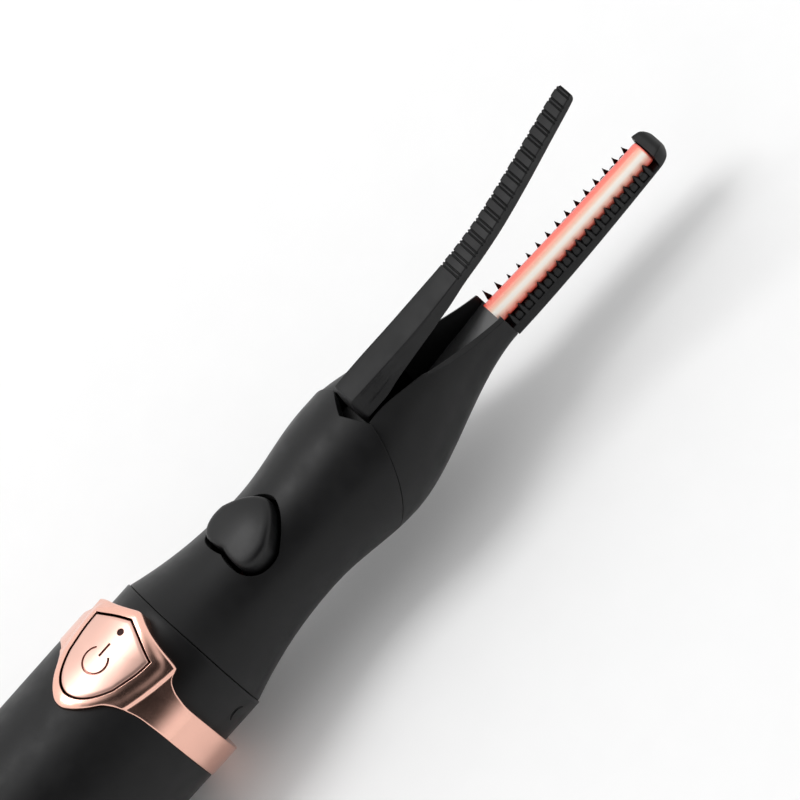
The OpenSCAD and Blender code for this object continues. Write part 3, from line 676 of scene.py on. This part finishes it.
outer = [(0.01, 8.78), (0.04, 8.88), (0.12, 8.92)] + [bezier(FLARE, t / 24) for t in range(1, 25)] \
    + [bezier(BULGE, t / 20) for t in range(1, 21)] + [(28, BULGE_R), (30.5, BULGE_R)]
inner = [(30.5, 6.6), (28, 6.6)] + [(x, head_radius(x) - 1.3) for x in range(26, 3, -2)]
inner += [(2, 6.3), (0.01, 6.6)]
head = turned("head", outer + inner, 224)
cut(head, parting_box("parting", -0.03, True))
for s in (-1, 1):
    boss = rod("boss", (PIN_X, s * 3.4, PIN_Z), (PIN_X, s * 6.1, PIN_Z), 1.9, 48)
    fuse(head, combine(boss, [rod("limit", (15, 0, 0), (30, 0, 0), 7.2, 96)], "INTERSECT"))
cut(head, loft("pocket", [[(x, y, z) for x, y in grown(HEART, g)]
                          for z, g in ((2.4, 0.5), (6.2, 0.5), (9, 0.62))]))
mouth = [(27.6, 0), (27.75, -0.35), (28.3, -1.5), (29.1, -3.1), (29.4, -3.35), (40, -3.35), (40, 3.35),
         (29.4, 3.35), (29.1, 3.1), (28.3, 1.5), (27.75, 0.35)]
cut(head, prism("mouth", mouth, 4.5, 11), box("way", (20.3, -2.9, 0), (32, 2.9, 6.45)),
    rod("bore", (PIN_X, -4.91, PIN_Z), (PIN_X, 4.91, PIN_Z), 0.75))
fuse(head, rod("seat", (STEM_X, 0, -6.2), (STEM_X, 0, -3.6), 2.3))
piece(head, "head_housing", HEAD_BLACK, "handle", ["head_shell"])

# ---------------------------------------------------------------- nose
NOSE_END = 46.4
NOSE_W = [(BULGE_X, BULGE_R), (32, BULGE_R), (38.5, 2.5), (NOSE_END, 2.2)]
NOSE_UP = [(BULGE_X, BULGE_R), (32, BULGE_R), (39, 4.7), (NOSE_END, 1.95)]
NOSE_DOWN = [(BULGE_X, BULGE_R), (32, BULGE_R), (40, 4.4), (NOSE_END, 4.3)]


def signed_power(v, e):
    return math.copysign(abs(v) ** e, v)


def nose_ring(x, shrink=0.0):
    n = 112
    w, up, down = (head_radius(x) if x < BULGE_X else curve_at(side, x)
                   for side in (NOSE_W, NOSE_UP, NOSE_DOWN))
    e = 2 / (2 + 1.5 * max(0, (x - BULGE_X) / (NOSE_END - BULGE_X)) ** 2)
    ring = []
    for i in range(n):
        a = 2 * math.pi * (i + 0.5) / n
        ring.append((x, (w - shrink) * signed_power(math.cos(a), e),
                     ((up if math.sin(a) > 0 else down) - shrink) * signed_power(math.sin(a), e)))
    return ring


def rod_height(x):
    return -0.95 + (x - 66) ** 2 / 600


stations = [20 + 0.5 * i for i in range(12)]
stations += [BULGE_X + (NOSE_END - 0.14 - BULGE_X) * i / 44 for i in range(45)]
nose = loft("nose", [nose_ring(x) for x in stations]
            + [nose_ring(NOSE_END - 0.05, 0.03), nose_ring(NOSE_END, 0.12)])
cut(nose, parting_box("parting", 0.07, False))
CHANNEL = [(27, 3.0), (29.2, 2.78), (30.5, 2.55), (32, 2.42), (34, 2.4), (37, 2.35), (40, 2.1), (43.5, 1.75),
           (46.3, 1.57), (50, 1.5)]
SCOOP = [(36.4, 5.3), (37, 4.82), (38.5, 4.0), (40, 3.17), (43.5, 1.43), (46.4, 0.48), (48, 0.3)]
channel = [(27 + 23 * i / 60, spline(CHANNEL, 27 + 23 * i / 60)) for i in range(61)]
channel += [(x, -y) for x, y in reversed(channel)]
groove = prism("channel", channel, -4, 10)
cut(groove, side_prism("floor", [(33, -9), (34, -2.6), (47.4, 0.5), (60, 0.5), (60, -9)], -5, 5))
cut(nose, turned("hollow", [(18, 0.001), (18, 6.4), (27, 6.4), (31, 5.6), (35.5, 3.4), (35.5, 0.001)], 96),
    box("hollow", (34, -1.6, -4.3), (38.5, 1.6, -2.2)), box("hollow", (38, -1.2, -3.4), (43.45, 1.2, -1.55)),
    groove,
    side_prism("scoop", [(36.4 + 11.6 * i / 30, spline(SCOOP, 36.4 + 11.6 * i / 30)) for i in range(31)]
               + [(48, 9), (36.4, 9)], -5, -0.6),
    rod("seat", (NOSE_END - 0.12, 0, rod_height(NOSE_END)), (NOSE_END + 2, 0, rod_height(NOSE_END)), 1.36),
    box("tongue_way", (NOSE_END - 3, -1.2, -3.41), (NOSE_END + 1, 1.2, -1.7)),
    rod("lead_way", (43, 0, -1.2), (NOSE_END, 0, -1.2), 0.5))
piece(nose, "nose_housing", HEAD_BLACK, "handle", ["nose_shell"])
# The ramp of the channel is painted a paler grey: a painted sheen standing in for light that the arm and
# walls keep off it
nose.data.materials.append(RAMP_PAINTED_SHEEN)
painted_sheen_ramp_normal = Vector((-3.1, 0, 13.4)).normalized()
for polygon in nose.data.polygons:
    if polygon.normal.dot(painted_sheen_ramp_normal) > 0.9999:
        polygon.material_index = 1

# ---------------------------------------------------------------- heart-shaped thumb key
HEART_TOP, CROWN_R = 8.2, 14.0
heart_centre = Vector((12.3, 0.0))


def crown(x, y):
    return HEART_TOP - CROWN_R + math.sqrt(CROWN_R ** 2 - (x - 12.8) ** 2 - y * y)


heart_rings = [[(x, y, 2.4) for x, y in HEART]]
for f, drop in ((1.0, 1.4), (1.0, 0.62), (0.997, 0.42), (0.985, 0.25), (0.96, 0.12), (0.92, 0.04),
                (0.86, 0.0)):
    heart_rings.append([(x, y, crown(x, y) - drop) for x, y in inset(HEART, heart_centre, f)])
for f in (0.75, 0.6, 0.45, 0.3, 0.15, 0.05):
    heart_rings.append([(x, y, crown(x, y)) for x, y in inset(HEART, heart_centre, f)])
heart = loft("heart", heart_rings)
cut(heart, prism("hollow", inset(HEART, heart_centre, 0.72), 2.3, 6.3),
    rod("socket", (STEM_X, 0, 2), (STEM_X, 0, 5.6), 1.65))
piece(heart, "heart_button", HEART_BLACK, "lever", ["thumb_button"], sharp=50)

# ---------------------------------------------------------------- lever with the grooved upper jaw
ARM = [  # x, half-width on top, half-width below, top z, bottom z
    (28.95, 1.3, 2.0, 6.9, 4.3), (29.2, 1.42, 2.2, 9.2, 5.9), (29.6, 1.5, 2.3, 10.05, 6.95),
    (32.2, 1.57, 2.2, 10.13, 6.9), (34.6, 1.59, 2.12, 10.15, 7.42), (37.6, 1.59, 1.95, 10.15, 7.79),
    (40.5, 1.56, 1.75, 10.25, 8.05), (42.9, 1.5, 1.5, 10.4, 8.2), (46.4, 1.38, 1.38, 10.7, 8.95),
    (49.5, 1.3, 1.3, 11.15, 9.45), (53, 1.25, 1.25, 11.95, 10.3), (58, 1.2, 1.2, 13.6, 12.05),
    (63, 1.13, 1.13, 15.45, 14.05), (67.4, 1.05, 1.05, 17.0, 15.8), (67.8, 0.98, 0.98, 17.1, 15.98),
    (68.0, 0.8, 0.8, 17.05, 16.2)]
PITCH = 1.41
GROOVES = [46.5 + PITCH * i for i in range(16)]


def arm_value(x, column):
    return spline([(s[0], s[column]) for s in ARM], x)


def groove_depth(x):
    """Two fine slots at each groove, with a low ridge between them."""
    for g in GROOVES:
        off = abs(abs(x - g) - 0.2)
        if off < 0.11:
            return 0.27 * smooth((0.11 - off) / 0.05)
    return 0.0


def swell(x):
    """The pads between the grooves stand slightly proud."""
    if x < GROOVES[0] or x > GROOVES[-1]:
        return 0.0
    t = ((x - GROOVES[0]) / PITCH) % 1.0
    return 0.05 * smooth(min(t, 1 - t) / 0.3)


def arm_ring(x):
    wt, wb, top, low = (arm_value(x, k) for k in (1, 2, 3, 4))
    deep, fat = groove_depth(x), swell(x)
    wt += fat * 0.7
    half = [(0.0, top - deep + 0.05), (wt * 0.45, top - deep + 0.04), (wt - 0.25, top - deep),
            (wt - 0.07 - deep * 0.35, top - 0.03 - deep * 0.9), (wt - deep * 0.2, top - 0.14 - deep * 0.6)]
    for k in range(1, 7):
        t = k / 7
        y = wt + (max(wb, wt) - wt) * t
        # the flank is drawn in by two soft flutes near its root
        near = smooth((x - 29.8) / 1.2) * (1 - smooth((x - 33) / 4.5))
        y -= 0.22 * near * math.sin(math.pi * 2 * t) ** 2
        half.append((y, top - 0.14 + (low + 0.22 - top + 0.14) * t))
    half += [(wb, low + 0.2), (wb - 0.06, low + 0.07), (wb - 0.2, low), (wb * 0.4, low)]
    right = [(x, y, z) for y, z in half]
    left = [(x, -y, z) for y, z in reversed(half[1:])]
    return right + [(x, 0.0, low)] + left


arm_x = {28.95, 29.05, 29.2, 29.3, 29.4, 29.5, 29.6, 29.8, 67.4, 67.6, 67.8, 67.9, 67.96, 68.0}
arm_x |= {30 + 0.4 * i for i in range(1, 41)} | {46.5 + PITCH * i / 4 for i in range(60)}
for g in GROOVES:
    arm_x |= {g + s * (0.2 + d) for s in (-1, 1) for d in (-0.112, -0.055, 0.055, 0.112)} | {g}
arm = loft("arm", [arm_ring(x) for x in sorted(arm_x)])
fuse(arm,
     rod("pivot", (PIN_X, -2.6, PIN_Z), (PIN_X, 2.6, PIN_Z), 1.7),
     side_prism("neck", [(21.6, 2.9), (23.6, 2.9), (29.2, 4.6), (29.2, 5.3), (25.5, 5.3), (22.6, 6.1)],
                -1.9, 1.9),
     side_prism("bar", [(10.6, 0.6), (18, 0.6), (22.6, 2.85), (21.4, 5.6), (18.4, 3.4), (17, 2.3),
                        (10.6, 2.3)], -1.6, 1.6),
     rod("post", (STEM_X, 0, 2.2), (STEM_X, 0, 5.5), 1.6))
cut(arm, rod("bore", (PIN_X, -4, PIN_Z), (PIN_X, 4, PIN_Z), 0.8))
piece(arm, "upper_jaw_lever", ARM_BLACK, "lever", ["clamp_lever"], sharp=30)

# ---------------------------------------------------------------- comb
ROD_END = 69.3
COMB_W = 1.95
COMB_BOTTOM = [(NOSE_END, -4.0), (55, -4.2), (64, -3.3), (TIP_X, -2.6)]


def comb_half_width(x):
    return COMB_W if x < 69.0 else max(0.5, 0.7 + 1.25 * math.sqrt(max(0.0, 1 - ((x - 69.0) / 2.0) ** 2)))


def comb_section(x):
    """Trough wall of the comb from the top edge round the underside, rounded below."""
    w = comb_half_width(x)
    low = curve_at(COMB_BOTTOM, x)
    top = -2.05 if x < ROD_END - 0.25 else -2.05 + 1.85 * smooth((x - ROD_END + 0.25) / 0.3)
    if x > 70.2:
        drop = (x - 70.2) / 0.8
        top -= 0.8 * drop * drop
        low += 0.75 * drop * drop
    r = min(0.55, w * 0.5)
    pts = [(0, top), (w - 0.5, top), (w - 0.1, top), (w - 0.03, top - 0.03), (w, top - 0.1), (w, low + r)]
    pts += [(w - r + r * math.cos(t), low + r - r * math.sin(t))
            for t in (math.pi / 2 * k / 6 for k in range(1, 7))]
    pts.append((0, low))
    return [(x, y, z) for y, z in pts] + [(x, -y, z) for y, z in reversed(pts[1:-1])]


comb_x = sorted({*(NOSE_END + (69.0 - NOSE_END) * i / 30 for i in range(31)),
                 69.02, 69.09, 69.15, 69.2, 69.27, 69.35, 69.45, 69.7, 70.0, 70.2, 70.4, 70.6,
                 70.75, 70.87, 70.95, 70.99, TIP_X})
comb = loft("comb", [comb_section(x) for x in comb_x])


def bent_rod(name, stations):
    return loft(name, [[(x, r * math.cos(t), rod_height(x) + r * math.sin(t))
                        for t in (2 * math.pi * k / 64 for k in range(64))] for x, r in stations])


cut(comb, bent_rod("groove", [(NOSE_END - 2 + (ROD_END + 0.05 - NOSE_END + 2) * i / 30, 1.42)
                              for i in range(31)]))
fuse(comb, box("tongue", (NOSE_END - 2.9, -1.15, -3.35), (NOSE_END + 0.2, 1.15, -1.75)))
cut(comb, rod("lead_way", (NOSE_END - 3, 0, rod_height(NOSE_END)),
              (NOSE_END + 0.5, 0, rod_height(NOSE_END)), 1.42))

# Thorn-shaped teeth, with a low pillow between each pair
TOOTH_BASE = -2.12
first_tooth = NOSE_END + 0.75
pitch = (ROD_END - 1.45 - first_tooth) / 14


def tooth(x, side, tip):
    """One thorn: a broad foot that sweeps into a fine ridge."""
    levels = [(0.0, 0.40), (0.3, 0.38), (0.5, 0.36), (0.66, 0.29), (0.82, 0.18), (0.94, 0.1), (1.0, 0.05)]
    out = []
    for t, half in levels:
        z = TOOTH_BASE + (tip - TOOTH_BASE) * t
        y_out = COMB_W - 0.06 * t
        y_in = COMB_W - 0.47 + 0.16 * t
        out.append([(x - half, side * y_in, z), (x - half * 0.55, side * y_out, z),
                    (x + half * 0.55, side * y_out, z), (x + half, side * y_in, z)])
    return out


def pillow(x, side):
    """Rounded block between two teeth."""
    out = []
    for t, f in ((0, 1.0), (0.6, 1.0), (0.88, 0.86), (1.0, 0.6)):
        z = TOOTH_BASE + 1.2 * t
        y0, y1 = COMB_W - 0.5, COMB_W - 0.12
        mid, half = (y0 + y1) / 2, (y1 - y0) / 2 * f
        out.append([(x + 0.43 * f * math.copysign(abs(math.cos(a)) ** 0.6, math.cos(a)),
                     side * (mid + half * math.copysign(abs(math.sin(a)) ** 0.6, math.sin(a))), z)
                    for a in (2 * math.pi * k / 12 for k in range(12))])
    return out


parts = []
for i in range(15):
    far_tip = -0.05 + (1.3 if i == 0 else 0.7 if i == 1 else 0.0)
    for side, tip in ((-1, -0.05), (1, far_tip)):
        parts.append(tooth(first_tooth + i * pitch, side, tip))
        if i < 14:
            parts.append(pillow(first_tooth + (i + 0.5) * pitch, side))
for rings in parts:
    fuse(comb, loft("tooth", rings))
piece(comb, "comb_jaw", COMB_BLACK, "handle", ["comb"], sharp=34)

# ---------------------------------------------------------------- heated tube
tube = bent_rod("tube", [(NOSE_END - 0.35 + (68.9 - NOSE_END + 0.35) * i / 40, 1.35) for i in range(41)]
                + [(68.99, 1.33), (69.07, 1.28), (69.14, 1.19), (69.18, 1.08), (69.2, 0.9)])
cut(tube, bent_rod("bore", [(NOSE_END - 2 + (67.3 - NOSE_END + 2) * i / 20, 0.95) for i in range(21)]))
piece(tube, "heated_tube", CORAL, "handle", ["heated_rod"], sharp=40)
